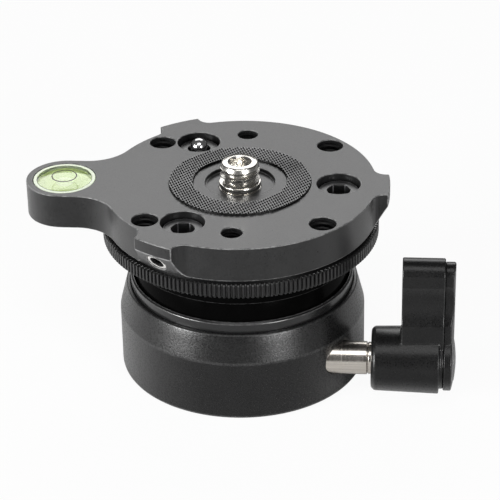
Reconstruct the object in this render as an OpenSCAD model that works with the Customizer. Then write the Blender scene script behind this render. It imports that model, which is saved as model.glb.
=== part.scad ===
/* [Base housing] */
// Outer radius of the housing
base_r = 30; // [28:0.5:38]
// Height of the ledge at the top of the housing
base_h = 22.4; // [21:0.2:27]
// Height of the housing's cone
cone_h = 7; // [4:0.2:9]
// How far the cone comes in
cone_in = 1.8; // [1:0.1:3]
// Width of the ledge outside the wiper ring
ledge_w = 1; // [0.5:0.1:2]
// Thickness of the housing floor
floor_t = 3; // [2.5:0.1:3.5]
// Chamfer round the foot of the housing
foot_chamfer = 0.6; // [0.2:0.1:1.2]
// Depth of the turned relief in the underside
relief_depth = 0.6; // [0.2:0.1:0.8]

/* [Wiper ring] */
// Wall of the ring
rim_wall = 0.75; // [0.6:0.05:1.5]
// Height of the ring above the ledge
rim_rise = 2.7; // [1.5:0.1:3]
// Depth of its seat below the ledge
rim_seat = 2; // [1:0.1:3]
// Chamfer along its upper edge
rim_chamfer = 0.45; // [0.1:0.05:0.6]

/* [Ball joint] */
// How far the centre of the ball lies below the ledge
centre_drop = 0.4; // [0:0.1:0.8]
// Radius of the ball
ball_r = 15; // [12.4:0.2:15.4]
// Height of the cap that is cut off the ball's underside
ball_cut = 3; // [2.8:0.1:5]
// Thickness of the liner
liner_t = 1.2; // [0.8:0.1:1.6]
// Gap on each side of the liner
liner_gap = 0.2; // [0.1:0.05:0.3]
// Height of the socket ring above the centre
socket_rise = 4; // [3:0.2:4.4]
// Largest tilt of the ball in degrees
tilt_max = 10; // [5:1:10]
// Wall of the dust skirt
skirt_t = 1.8; // [1.2:0.1:2.4]
// Gap between the dust skirt and the wiper ring
skirt_gap = 0.25; // [0.2:0.05:0.5]
// Drop of the dust skirt below the centre
skirt_drop = 3; // [2.4:0.2:3.2]
// Gap between the flange and the wiper ring at full tilt
flange_play = 0.735; // [0.4:0.005:2]
// Thickness of the flange
flange_t = 4.9; // [4:0.1:7]
// How far the flange stands out past the dust skirt's sphere
flange_out = 1.4; // [0.4:0.1:2]

/* [Top plate] */
// Radius of the plate
plate_r = 32.7; // [31.5:0.1:40]
// Thickness of the plate
plate_t = 8.6; // [8:0.1:12]
// How far the tabs stand out past the plate
tab_out = 3.2; // [2.6:0.1:4.2]
// Width of a tab
tab_w = 10.4; // [8:0.2:14]
// Height of the upright part of a tab's outer face
tab_upright = 3.2; // [2:0.1:4]
// Radius of the hollow beside a tab
tab_fillet = 3; // [1:0.1:4]
// Distance from the plate's edge to the middle of the level
arm_reach = 9.7; // [8:0.1:16]
// Wall of the arm round the level
arm_wall = 1.7; // [1.2:0.1:3]
// Radius of the hollow where the arm meets the plate
arm_fillet = 10.5; // [4:0.5:12]
// Radius of the recess round the stud
recess_r = 8.4; // [7:0.1:10]
// Depth of the recess round the stud
recess_depth = 1.1; // [0.5:0.1:2]
// Inner radius of the grip pad
pad_in_r = 11.3; // [10:0.1:13]
// Outer radius of the grip pad
pad_out_r = 17; // [14:0.1:17.6]
// Height of the grip pad above the plate
pad_rise = 0.6; // [0.2:0.1:1.2]
// Depth of the groove that holds the grip pad
pad_sink = 0.5; // [0.2:0.1:1]
// Spacing of the four large holes across the plate, left to right
large_x = 41.4; // [40:0.2:46]
// Spacing of the four large holes across the plate, front to back
large_y = 39.6; // [38:0.2:46]
// Radius of the four large holes
large_hole_r = 3.175; // [2.5:0.005:3.5]
// Distance between the two small holes
small_y = 50; // [44:0.2:56]
// Radius of the two small holes
small_hole_r = 2.5; // [2:0.1:3]

/* [Knurled ring] */
// How far the knurled ring stands out past the plate
knurl_out = 0.6; // [0:0.1:1.2]
// Height of the knurled band
knurl_h = 3.5; // [2.5:0.1:6]
// Height of the gap between the knurled band and the plate
knurl_gap = 0.8; // [0.4:0.1:1.5]
// How far the gap reaches in from the plate's edge
knurl_gap_in = 1.2; // [0.5:0.1:2]

/* [Stud and screws] */
// Radius of the stud's threaded end
stud_r = 4.7625; // [3.9:0.0025:5.8]
// Height of the stud above the plate
stud_rise = 5.4; // [4:0.1:12]
// Distance of the plate screws from the centre
screw_circle = 23.6; // [22.4:0.1:24]
// Radius of a plate screw's shank
screw_r = 3; // [2.5:0.1:3.4]
// Radius of a plate screw's head
head_r = 5; // [4.1:0.1:6]
// Height of a plate screw's head
head_h = 4; // [3.5:0.1:4.4]
// Depth of a plate screw's head below the plate's top
head_sink = 2.1; // [1:0.1:2.4]
// Height of the anti-twist pin above the plate
pin_rise = 0.8; // [0.4:0.1:1.4]
// Radius of the side set screws
set_screw_r = 2.5; // [1.5:0.1:2.5]
// Gap between the side set screws and the heads of the plate screws
set_screw_play = 0.2; // [0.1:0.05:0.6]

/* [Level] */
// Radius of the level's cup
level_r = 7.5; // [6.2:0.1:9]
// Depth of the level in the arm
level_depth = 6.2; // [5:0.1:7]
// Radius of the printed circle
circle_r = 2.9; // [2:0.1:4]
// Radius of the air bubble
bubble_r = 2.2; // [1.2:0.1:2.4]

/* [Lock] */
// How far the spindle's axis lies below the centre of the ball
lock_drop = 12; // [11.6:0.1:12.2]
// How far the cross bore cuts into the ball's socket
cross_bite = 1.95; // [1.5:0.05:2.4]
// Radius of the spindle
spindle_r = 4; // [3.4:0.1:4.8]
// Radius of the spindle's threaded end
thread_r = 3; // [2.5:0.1:3]
// Radius of the cross bore that holds the clamp plugs
cross_r = 6; // [5.6:0.1:6]
// Gap between the two clamp plugs
plug_space = 3; // [2:0.2:4]
// Outer end of the clamp plugs, from the middle
plug_end = 10.6; // [9.4:0.2:10.8]
// Distance from the housing to the knob
knob_gap = 2.2; // [1.5:0.1:6]

/* [Knob] */
// Radius of the knob's hub
hub_r = 8.2; // [7:0.05:9.8]
// How much narrower the hub is at the housing's end
hub_taper = 0.45; // [0:0.05:0.8]
// Length of the knob's hub
hub_l = 16.2; // [16:0.1:22]
// Height of the wing above the spindle's axis
wing_h = 27.5; // [20:0.1:28.5]
// Width of the wing along the spindle
wing_w = 10.1; // [7:0.1:14]
// Radius of the wing's end
wing_end_r = 3.6; // [3:0.1:4.2]
// Half thickness of the wing at the hub
wing_root = 4.7; // [4:0.1:6]
// How far the wing stands out past the hub's end
wing_over = 1; // [0.6:0.1:2]
// Thickness of the knob's cover, with its crown
cover_t = 2.9; // [2.6:0.1:4]
// Height of the crown on the cover
crown_h = 1.1; // [0.6:0.1:1.3]
// Step from the knob's outline in to the cover's outline
cover_step = 0.8; // [0.4:0.1:1.2]
// Radius of the round cap
cap_r = 5; // [4.6:0.1:6]

/* [Tripod bush] */
// Radius of the threaded hole for the tripod's screw
tripod_r = 4.8; // [3.2:0.05:5.8]
// Outer radius of the bush
bush_r = 7; // [6.4:0.1:7]
// Height of the bush
bush_h = 7.8; // [6:0.1:7.8]

/* [Hidden] */
$fn = 96;

// Small overlap that makes a cut pass through a face
cut = 0.01;
// Radial clearance of a running fit
run_fit = 0.06;
// Radial clearance of a screw in a plain hole
screw_play = 0.2;

// Housing, from the outside in
cone_z = base_h - cone_h;
ledge_r = base_r - cone_in;
rim_r = ledge_r - ledge_w;
rim_in_r = rim_r - rim_wall;
skirt_R = rim_in_r - skirt_gap;
bore_play = 0.3;
bore_r = skirt_R + bore_play;
relief_in_r = 12;
relief_out_r = base_r - 5.5;

// Tripod bush
bush_flange_r = 9;
bush_flange_h = 1.6;

// Socket and ball
centre_z = base_h - centre_drop;
liner_in_R = ball_r + liner_gap;
liner_out_R = liner_in_R + liner_t;
socket_R = liner_out_R + liner_gap;
liner_low_angle = 38;
ball_flat = ball_r - ball_cut;
skirt_in_R = skirt_R - skirt_t;
skirt_seat_gap = 0.1;
skirt_low_angle = asin(skirt_drop / skirt_R) + tilt_max;
sweep_play = 0.7;
block_top = centre_z - skirt_R * sin(skirt_low_angle) - sweep_play;
block_r = bore_r - 0.7;
socket_ring_r = skirt_in_R - 1.1;
socket_neck_z = centre_z - 5;
socket_neck_r = socket_ring_r - 1.5;
socket_ring_chamfer = 1.6;
socket_hole_r = bush_r + 0.1;
flange_r = skirt_R + flange_out;
flange_low = base_h + rim_rise + flange_play - centre_z + rim_r * tan(tilt_max);
flange_z = centre_z + flange_low * cos(tilt_max);
flange_top = flange_z + flange_t;

// Socket ring screws
ring_screw_r = 1.25;
ring_screw_head_r = 2.2;
ring_screw_head_h = 1.4;
ring_screw_l = 9;
ring_screw_circle = (socket_ring_r + socket_R) / 2 - 0.1;
ring_screw_count = 4;

// Base screws, clear of the cross bore
base_screw_angles = [30, 90, 150];
base_screw_circle = bore_r - 6.5;
base_screw_r = 2;
base_screw_head_r = 3.9;
base_screw_head_h = 1.9;
base_screw_l = 9.5;
hex_small = 2.5;

// Knurled ring and plate
knurl_r = plate_r + knurl_out;
tab_r = plate_r + tab_out;
arm_length = plate_r + arm_reach;
arm_r = level_r + arm_wall;
knurl_top = flange_top + knurl_h;
plate_z = knurl_top + knurl_gap;
plate_top = plate_z + plate_t;
knurl_hub_r = plate_r - knurl_gap_in;
tab_angles = [0, 120, 240];
solid_screw_angles = [0, 240];
hollow_screw_angle = 120;
cbore_r = head_r + 0.25;
cbore_z = plate_top - head_sink - head_h;
head_top = plate_top - head_sink;
hex_across = 5;
hex_depth = 3;
shank_end = flange_z + 1;
screw_hole_end = flange_z + 0.6;
edge_chamfer = 0.4;

// Spring-loaded pin inside the hollow screw
pin_foot_r = screw_r - 0.6;
pin_r = pin_foot_r - 0.25;
pin_foot_h = 2;
pin_ledge_z = head_top - hex_depth - 0.8;
pin_dome_z = plate_top + pin_rise - pin_r;
spring_low = screw_hole_end;
spring_high = pin_ledge_z - pin_foot_h;
spring_wire_r = 0.3;
spring_coil_r = pin_foot_r - 0.2 - spring_wire_r;
spring_turns = 6;
spring_rings = 12 * spring_turns;
spring_sides = 6;

// Stud
stud_root_r = stud_r + 0.2375;
stud_flange_r = 8;
stud_flange_h = 2.2;
stud_chamfer = 0.7;
stud_hex_depth = 4;
recess_z = plate_top - recess_depth;
stud_top = plate_top + stud_rise;

// Set screws, square to the slanted face under each tab
slant_in = tab_r - plate_r;
slant_h = plate_t - tab_upright;
slant_angle = atan(slant_in / slant_h);
set_mid_r = plate_r + slant_in / 2;
set_mid_z = plate_z + slant_h / 2;
set_screw_sink = 0.3;
set_tip_r = screw_circle + head_r + set_screw_play + set_screw_r * sin(slant_angle);
set_screw_l = (set_mid_r - set_tip_r) / cos(slant_angle) - set_screw_sink;

// Level
level_wall = 0.9;
level_floor = 0.9;
level_z = plate_top - level_depth;
pocket_r = level_r + 0.1;
lens_t = 1.4;
lens_z = plate_top - lens_t - 0.1;
lens_r = level_r - level_wall;
dome_rise = 0.8;
ring_line = 0.35;
ring_t = 0.12;
bubble_h = 0.9;

// Clamp and knob, along the spindle
lock_z = centre_z - lock_drop;
lock_y = -sqrt(pow(socket_R + cross_r - cross_bite, 2) - lock_drop * lock_drop);
plug_r = cross_r - run_fit;
plug_start = plug_space / 2;
washer_t = 0.8;
washer_r = spindle_r + 0.8;
shoulder_x = plug_end + washer_t;
thread_end = -plug_end - 1;
knob_x = base_r + knob_gap;
groove_x = knob_x - 1;
groove_w = 0.3;
groove_depth = 0.35;
collar_r = spindle_r - 0.15;
stub_r = spindle_r - 0.5;
stub_end = knob_x + 10.8;
insert_r = stub_r + 2.1;
insert_start = knob_x + 0.8;
insert_end = knob_x + 13.8;
knob_screw_r = 2;
knob_screw_head_r = 3.5;
knob_screw_start = knob_x + 6;
hub_end = knob_x + hub_l;
wing_end = hub_end + wing_over;
wing_start = wing_end - wing_w;
cover_end = wing_end + cover_t;
neck_r = hub_r - 1.2;
cover_r = hub_r - cover_step;
cover_rim = cover_end - crown_h;
crown_half = cover_r + 0.4;
crown_R = (crown_half * crown_half + crown_h * crown_h) / (2 * crown_h);
ridge_half = wing_end_r - cover_step + 0.4;
ridge_h = crown_h * 0.6;
ridge_R = (ridge_half * ridge_half + ridge_h * ridge_h) / (2 * ridge_h);
cap_t = 1.1;
cap_stand = 0.1;
cap_play = 0.05;
hub_round = 0.8;
scallop_r = 12.3;
scallop_depth = 1.3;
scallop_v = wing_h - 10.3;
tip_scallop_r = 3;
tip_scallop_depth = 0.5;
tip_scallop_v = wing_h - 1.2;

black = "#1b1b1c";
steel = "#c9c9c6";

// Places children along the spindle, with z turned to point along +X
module along_spindle(x = 0) {
    translate([x, lock_y, lock_z]) rotate([0, 90, 0]) children();
}

// Cylinder along the spindle between two x values
module spindle_cylinder(from_x, to_x, r) {
    along_spindle(from_x) cylinder(h = to_x - from_x, r = r);
}

// Sphere about the centre of the ball joint
module joint_sphere(r) {
    translate([0, 0, centre_z]) sphere(r = r, $fn = 128);
}

// Tube with its ends at two heights
module tube(from_z, to_z, outer, inner) {
    translate([0, 0, from_z]) difference() {
        cylinder(h = to_z - from_z, r = outer);
        translate([0, 0, -cut]) cylinder(h = to_z - from_z + 2 * cut, r = inner);
    }
}

// Hexagonal prism measured across its flats
module hex_prism(across, h) {
    cylinder(h = h, r = across / 2 / cos(30), $fn = 6);
}

// Puts children at each of the plate's screw holes, or at those named
module at_plate_screws(angles = tab_angles) {
    for (a = angles) rotate(a) translate([screw_circle, 0, 0]) children();
}

// Puts children at each of the base screws
module at_base_screws() {
    for (a = base_screw_angles) rotate(a) translate([base_screw_circle, 0, 0]) children();
}

// Puts children at each of the socket ring screws
module at_ring_screws() {
    for (i = [0 : ring_screw_count - 1])
        rotate(i * 360 / ring_screw_count) translate([ring_screw_circle, 0, 0]) children();
}

// Turns children so that +Z runs into a tab, square to its slanted face
module into_tab(a) {
    rotate(a) translate([set_mid_r, 0, set_mid_z]) rotate([0, -90 + slant_angle, 0]) children();
}

// Base

module base_housing() {
    color(black) difference() {
        rotate_extrude($fn = 180) polygon([
            [0, 0], [base_r - foot_chamfer, 0], [base_r, foot_chamfer], [base_r, cone_z],
            [ledge_r, base_h], [rim_r, base_h], [rim_r, base_h - rim_seat],
            [bore_r, base_h - rim_seat], [bore_r, floor_t], [0, floor_t]]);
        translate([0, 0, -cut]) cylinder(h = floor_t + 1, r = bush_r);
        translate([0, 0, -cut]) cylinder(h = bush_flange_h + cut, r = bush_flange_r);
        tube(-cut, relief_depth, relief_out_r, relief_in_r);
        at_base_screws() base_screw_hole();
        spindle_cylinder(plug_end, base_r + 1, spindle_r + run_fit);
    }
}

// Countersunk through hole in the housing's floor
module base_screw_hole() {
    cylinder(h = floor_t + 1, r = base_screw_r + screw_play);
    translate([0, 0, -cut]) cylinder(h = relief_depth + cut, r = base_screw_head_r);
    translate([0, 0, relief_depth]) cylinder(h = base_screw_head_h, r1 = base_screw_head_r,
        r2 = base_screw_r);
}

module wiper_ring() {
    seat_z = base_h - rim_seat;
    top_z = base_h + rim_rise;
    color("#232324") rotate_extrude($fn = 180) polygon([
        [rim_in_r, seat_z], [rim_r, seat_z], [rim_r, top_z - rim_chamfer],
        [rim_r - rim_chamfer, top_z], [rim_in_r, top_z]]);
}

module tripod_bush() {
    color(steel) rotate_extrude() polygon([
        [tripod_r, 0], [bush_flange_r, 0], [bush_flange_r, bush_flange_h],
        [bush_r, bush_flange_h], [bush_r, bush_h], [tripod_r, bush_h]]);
}

module base_screws() {
    color(steel) at_base_screws() difference() {
        union() {
            translate([0, 0, relief_depth]) cylinder(h = base_screw_head_h, r1 = base_screw_head_r,
                r2 = base_screw_r);
            translate([0, 0, relief_depth]) cylinder(h = base_screw_l, r = base_screw_r);
        }
        translate([0, 0, relief_depth - cut]) hex_prism(hex_small, 1.6);
    }
}

module socket_body() {
    color("#8d8f92") difference() {
        rotate_extrude() polygon([
            [socket_hole_r, floor_t], [block_r, floor_t], [block_r, block_top],
            [socket_neck_r, block_top], [socket_neck_r, socket_neck_z],
            [socket_ring_r, socket_neck_z], [socket_ring_r, centre_z], [socket_hole_r, centre_z]]);
        joint_sphere(socket_R);
        spindle_cylinder(-base_r, base_r, cross_r);
        at_base_screws() translate([0, 0, floor_t - cut])
            cylinder(h = base_screw_l + relief_depth - floor_t + cut, r = base_screw_r);
        at_ring_screws() translate([0, 0, ring_screw_bottom()])
            cylinder(h = centre_z - ring_screw_bottom() + 1, r = ring_screw_r);
    }
}

function ring_screw_bottom() = centre_z + socket_rise - ring_screw_l;

module socket_ring() {
    top_z = centre_z + socket_rise;
    color("#8d8f92") difference() {
        rotate_extrude() polygon([
            [ball_r - 2, centre_z], [socket_ring_r, centre_z],
            [socket_ring_r, top_z - socket_ring_chamfer],
            [socket_ring_r - socket_ring_chamfer, top_z], [ball_r - 2, top_z]]);
        joint_sphere(socket_R);
        at_ring_screws() translate([0, 0, centre_z - cut])
            cylinder(h = socket_rise + 1, r = ring_screw_r + 0.15);
        at_ring_screws() translate([0, 0, top_z - ring_screw_head_h])
            cylinder(h = ring_screw_head_h + 1, r = ring_screw_head_r);
    }
}

module socket_ring_screws() {
    top_z = centre_z + socket_rise;
    color(steel) at_ring_screws() difference() {
        union() {
            translate([0, 0, top_z - ring_screw_head_h]) cylinder(h = ring_screw_head_h,
                r = ring_screw_head_r);
            translate([0, 0, ring_screw_bottom()]) cylinder(h = ring_screw_l - ring_screw_head_h,
                r = ring_screw_r);
        }
        translate([0, 0, top_z - 1]) hex_prism(2, 1.1);
    }
}

// Lock

// One clamp plug on the +X side, hollowed where it meets the liner
module clamp_plug(hole_r) {
    difference() {
        spindle_cylinder(plug_start, plug_end, plug_r);
        spindle_cylinder(0, plug_end + 1, hole_r);
        joint_sphere(socket_R);
    }
}

module fixed_clamp_plug() {
    color("#b08d57") clamp_plug(thread_r + screw_play);
}

module threaded_clamp_plug() {
    color("#b08d57") mirror([1, 0, 0]) clamp_plug(thread_r + run_fit);
}

module thrust_washer() {
    color(steel) difference() {
        spindle_cylinder(plug_end, shoulder_x, washer_r);
        spindle_cylinder(plug_end - 1, shoulder_x + 1, thread_r + run_fit);
    }
}

module lock_spindle() {
    color(steel) difference() {
        union() {
            spindle_cylinder(thread_end, shoulder_x, thread_r);
            spindle_cylinder(shoulder_x, groove_x, spindle_r);
            spindle_cylinder(groove_x, groove_x + groove_w, spindle_r - groove_depth);
            spindle_cylinder(groove_x + groove_w, insert_start, collar_r);
            spindle_cylinder(insert_start, stub_end, stub_r);
        }
        spindle_cylinder(knob_screw_start - 0.5, stub_end + 1, knob_screw_r);
    }
}

// Knob

module knob_insert() {
    color("#b08d57") difference() {
        spindle_cylinder(insert_start, insert_end, insert_r);
        spindle_cylinder(insert_start - 1, stub_end, stub_r);
        spindle_cylinder(stub_end - 1, insert_end + 1, knob_screw_r + 0.1);
    }
}

module knob_screw() {
    color(steel) difference() {
        union() {
            spindle_cylinder(knob_screw_start, insert_end, knob_screw_r);
            spindle_cylinder(insert_end, wing_end, knob_screw_head_r);
        }
        along_spindle(wing_end - 2) hex_prism(3, 3);
    }
}

// Outline of the wing round a disc, up from the spindle's axis; step takes it in all round
module wing_outline(disc_r, step) {
    end_v = wing_h - wing_end_r;
    groove_u = wing_root * 0.87 - scallop_depth + scallop_r;
    tip_u = wing_end_r - tip_scallop_depth + tip_scallop_r;
    difference() {
        union() {
            circle(r = disc_r);
            translate([0, end_v]) circle(r = wing_end_r - step, $fn = 48);
            polygon([[-wing_root + step, 0], [wing_root - step, 0], [wing_end_r - step, end_v],
                [-wing_end_r + step, end_v]]);
        }
        for (side = [-1, 1]) {
            translate([side * groove_u, scallop_v]) circle(r = scallop_r + step, $fn = 120);
            translate([side * tip_u, tip_scallop_v]) circle(r = tip_scallop_r + step, $fn = 48);
        }
    }
}

// Prism of the wing's outline between two x values
module wing_prism(from_x, to_x, disc_r, step) {
    along_spindle(from_x) rotate(90) linear_extrude(height = to_x - from_x) wing_outline(disc_r, step);
}

module knob_body() {
    color(black) difference() {
        union() {
            along_spindle(knob_x) rotate_extrude() polygon([
                [0, 0], [hub_r - hub_taper - hub_round, 0], [hub_r - hub_taper, hub_round],
                [hub_r, hub_l], [0, hub_l]]);
            wing_prism(wing_start, wing_end, neck_r, 0);
        }
        spindle_cylinder(knob_x - 1, insert_start + cut, collar_r + 0.1);
        spindle_cylinder(insert_start, insert_end, insert_r);
        spindle_cylinder(insert_end - cut, wing_end + 1, knob_screw_head_r + 0.2);
    }
}

// Space under the cover's crown: a dome on the axis and a ridge along the wing
module crown_space(stand) {
    along_spindle(cover_end + stand - crown_R) sphere(r = crown_R, $fn = 180);
    translate([cover_rim + ridge_h - ridge_R, lock_y, lock_z]) cylinder(h = wing_h + 1, r = ridge_R);
    spindle_cylinder(wing_end, cover_rim, wing_h + hub_r);
}

module knob_cover() {
    color(black) difference() {
        intersection() {
            wing_prism(wing_end, cover_end, cover_r, cover_step);
            crown_space(0);
        }
        spindle_cylinder(cover_end - cap_t, cover_end + 1, cap_r + cap_play);
    }
}

module knob_cap() {
    color("#2c2c2d") intersection() {
        spindle_cylinder(cover_end - cap_t, cover_end + 1, cap_r);
        crown_space(cap_stand);
    }
}

// Ball and head

module ball_liner() {
    low_z = centre_z - liner_out_R * cos(liner_low_angle);
    color("#e4e2d8") difference() {
        joint_sphere(liner_out_R);
        joint_sphere(liner_in_R);
        translate([0, 0, low_z - base_r]) cylinder(h = base_r, r = base_r);
        translate([0, 0, centre_z + socket_rise]) cylinder(h = base_r, r = base_r);
    }
}

module dust_skirt() {
    color(black) intersection() {
        difference() {
            joint_sphere(skirt_R);
            joint_sphere(skirt_in_R);
        }
        translate([0, 0, centre_z - skirt_drop])
            cylinder(h = flange_z - skirt_seat_gap - centre_z + skirt_drop, r = base_r * 2);
    }
}

module half_ball() {
    color(black) difference() {
        union() {
            intersection() {
                joint_sphere(ball_r);
                translate([0, 0, centre_z - ball_flat])
                    cylinder(h = flange_top - centre_z + ball_flat, r = ball_r * 2);
            }
            translate([0, 0, flange_z]) cylinder(h = flange_t, r = flange_r, $fn = 180);
        }
        at_plate_screws() translate([0, 0, screw_hole_end])
            cylinder(h = flange_top - screw_hole_end + 1, r = screw_r);
    }
}

module knurled_ring() {
    color("#262627") difference() {
        union() {
            translate([0, 0, flange_top]) cylinder(h = knurl_h, r = knurl_r, $fn = 180);
            translate([0, 0, flange_top]) cylinder(h = knurl_h + knurl_gap, r = knurl_hub_r, $fn = 180);
        }
        translate([0, 0, flange_top - 1]) cylinder(h = knurl_h + knurl_gap + 2, r = stud_flange_r - 1);
        at_plate_screws() translate([0, 0, flange_top - 1])
            cylinder(h = knurl_h + knurl_gap + 2, r = screw_r + screw_play);
    }
}

// Hollow corner between the disc of radius disc and an edge at height edge_y, rounded by radius round_r
module hollow_corner(disc, edge_y, round_r) {
    cy = edge_y + round_r;
    cx = sqrt(pow(disc + round_r, 2) - cy * cy);
    touch = disc / (disc + round_r);
    difference() {
        polygon([[disc * 0.7, 0], [cx, 0], [cx, edge_y], [cx * touch, cy * touch]]);
        translate([cx, cy]) circle(r = round_r, $fn = 96);
    }
}

// Arm outline towards +X
module arm_outline() {
    translate([arm_length, 0]) circle(r = arm_r);
    translate([0, -arm_r]) square([arm_length, 2 * arm_r]);
    for (m = [0, 1]) mirror([0, m]) hollow_corner(plate_r, arm_r, arm_fillet);
}

// Tab outline towards +X
module tab_outline() {
    intersection() {
        circle(r = tab_r, $fn = 180);
        union() {
            translate([0, -tab_w / 2]) square([tab_r + 1, tab_w]);
            for (m = [0, 1]) mirror([0, m]) hollow_corner(plate_r, tab_w / 2, tab_fillet);
        }
    }
}

// Plate body with its arm and its slanted tabs, before any hole
module plate_blank() {
    translate([0, 0, plate_z]) linear_extrude(height = plate_t) circle(r = plate_r, $fn = 180);
    translate([0, 0, plate_z]) linear_extrude(height = plate_t) rotate(180) arm_outline();
    intersection() {
        translate([0, 0, plate_z]) linear_extrude(height = plate_t)
            for (a = tab_angles) rotate(a) tab_outline();
        rotate_extrude($fn = 180) polygon([[0, plate_z], [plate_r, plate_z], [tab_r + cut, plate_z + slant_h],
            [tab_r + cut, plate_top], [0, plate_top]]);
    }
}

module top_plate() {
    color(black) difference() {
        plate_blank();
        // Stud hole, its recess above and the seat of its flange below
        translate([0, 0, plate_z - 1]) cylinder(h = plate_t + 2, r = stud_root_r + run_fit);
        translate([0, 0, recess_z]) cylinder(h = recess_depth + 1, r = recess_r);
        translate([0, 0, plate_z - 1]) cylinder(h = stud_flange_h + 1, r = stud_flange_r + 0.1);
        // Groove for the grip pad
        tube(plate_top - pad_sink, plate_top + 1, pad_out_r, pad_in_r);
        // Plate screws
        at_plate_screws() translate([0, 0, plate_z - 1]) cylinder(h = plate_t, r = screw_r + screw_play);
        at_plate_screws() translate([0, 0, cbore_z]) cylinder(h = plate_t, r = cbore_r);
        // Accessory holes
        for (x = [-1, 1], y = [-1, 1]) translate([x * large_x / 2, y * large_y / 2, plate_z - 1])
            cylinder(h = plate_t + 2, r = large_hole_r);
        for (y = [-1, 1]) translate([0, y * small_y / 2, plate_z - 1])
            cylinder(h = plate_t + 2, r = small_hole_r);
        // Pocket of the level
        translate([-arm_length, 0, level_z]) cylinder(h = level_depth + 1, r = pocket_r);
        // Side set screws
        for (a = tab_angles) into_tab(a) translate([0, 0, -2]) cylinder(h = set_screw_l + set_screw_sink + 2,
            r = set_screw_r);
    }
}

// Low cap screw on its own axis
module cap_screw() {
    difference() {
        union() {
            translate([0, 0, cbore_z]) cylinder(h = head_h - edge_chamfer, r = head_r);
            translate([0, 0, head_top - edge_chamfer]) cylinder(h = edge_chamfer, r1 = head_r,
                r2 = head_r - edge_chamfer);
            translate([0, 0, shank_end]) cylinder(h = cbore_z - shank_end, r = screw_r);
        }
        translate([0, 0, head_top - hex_depth]) hex_prism(hex_across, hex_depth + 1);
    }
}

module plate_screws() {
    color("#2a2a2b") at_plate_screws(solid_screw_angles) cap_screw();
}

module hollow_screw() {
    color("#2a2a2b") at_plate_screws([hollow_screw_angle]) difference() {
        cap_screw();
        translate([0, 0, pin_ledge_z - 1]) cylinder(h = head_h, r = pin_r + run_fit);
        translate([0, 0, shank_end - 1]) cylinder(h = pin_ledge_z - shank_end + 1, r = pin_foot_r + run_fit);
    }
}

module anti_twist_pin() {
    foot_z = pin_ledge_z - pin_foot_h;
    color("#e8e8e6") at_plate_screws([hollow_screw_angle]) {
        translate([0, 0, foot_z]) cylinder(h = pin_foot_h, r = pin_foot_r);
        translate([0, 0, foot_z]) cylinder(h = pin_dome_z - foot_z, r = pin_r);
        translate([0, 0, pin_dome_z]) sphere(r = pin_r);
    }
}

// Corner k of ring i of the spring's wire
function spring_corner(i, k) = let(
    turn = 360 * spring_turns * i / spring_rings,
    around = 360 * k / spring_sides,
    out = spring_coil_r + spring_wire_r * cos(around),
    rise = (spring_high - spring_low - 2 * spring_wire_r) * i / spring_rings
) [out * cos(turn), out * sin(turn), spring_low + spring_wire_r * (1 + sin(around)) + rise];

module pin_spring() {
    n = spring_sides;
    last = spring_rings * n;
    corners = [for (i = [0 : spring_rings], k = [0 : n - 1]) spring_corner(i, k)];
    sides = [for (i = [0 : spring_rings - 1], k = [0 : n - 1]) let(a = i * n + k, b = i * n + (k + 1) % n)
        each [[a, b, b + n], [a, b + n, a + n]]];
    ends = [[for (k = [n - 1 : -1 : 0]) k], [for (k = [0 : n - 1]) last + k]];
    color(steel) at_plate_screws([hollow_screw_angle]) polyhedron(points = corners,
        faces = concat(sides, ends));
}

module side_set_screws() {
    color(steel) for (a = tab_angles) into_tab(a) translate([0, 0, set_screw_sink]) difference() {
        cylinder(h = set_screw_l, r = set_screw_r);
        translate([0, 0, -cut]) hex_prism(hex_small, 2);
    }
}

module grip_pad() {
    color("#161616") tube(plate_top - pad_sink, plate_top + pad_rise, pad_out_r, pad_in_r);
}

module centre_stud() {
    color(steel) difference() {
        rotate_extrude() polygon([
            [0, plate_z], [stud_flange_r, plate_z], [stud_flange_r, plate_z + stud_flange_h],
            [stud_root_r, plate_z + stud_flange_h], [stud_root_r, recess_z], [stud_r, recess_z],
            [stud_r, stud_top - stud_chamfer], [stud_r - stud_chamfer, stud_top], [0, stud_top]]);
        translate([0, 0, stud_top - stud_hex_depth]) hex_prism(hex_across, stud_hex_depth + 1);
    }
}

// Level, about its own axis

module at_level() {
    translate([-arm_length, 0, 0]) children();
}

module level_cup() {
    color("#f2f3ec") at_level() difference() {
        translate([0, 0, level_z]) cylinder(h = level_depth - 0.1, r = level_r);
        translate([0, 0, level_z + level_floor]) cylinder(h = level_depth, r = lens_r);
    }
}

// Space of the bubble, a flattened dome under the lens
module bubble_shape() {
    translate([0, 0, lens_z - ring_t - bubble_h]) rotate_extrude() polygon([
        [0, 0], [bubble_r * 0.6, 0], [bubble_r * 0.9, bubble_h * 0.35], [bubble_r, bubble_h * 0.7],
        [bubble_r * 0.95, bubble_h], [0, bubble_h]]);
}

module level_fluid() {
    color("#d9ee5a") at_level() difference() {
        translate([0, 0, level_z + level_floor])
            cylinder(h = lens_z - ring_t - level_z - level_floor, r = lens_r);
        bubble_shape();
    }
}

module level_bubble() {
    color("#f4f9dc") at_level() bubble_shape();
}

module level_ring() {
    color("#202020") at_level() tube(lens_z - ring_t, lens_z, circle_r + ring_line / 2,
        circle_r - ring_line / 2);
}

module level_lens() {
    dome_R = (lens_r * lens_r + dome_rise * dome_rise) / (2 * dome_rise);
    color("#f4f8e6") at_level() intersection() {
        translate([0, 0, lens_z]) cylinder(h = lens_t + dome_rise, r = lens_r);
        translate([0, 0, plate_top - 0.1 + dome_rise - dome_R]) sphere(r = dome_R, $fn = 180);
    }
}

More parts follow.
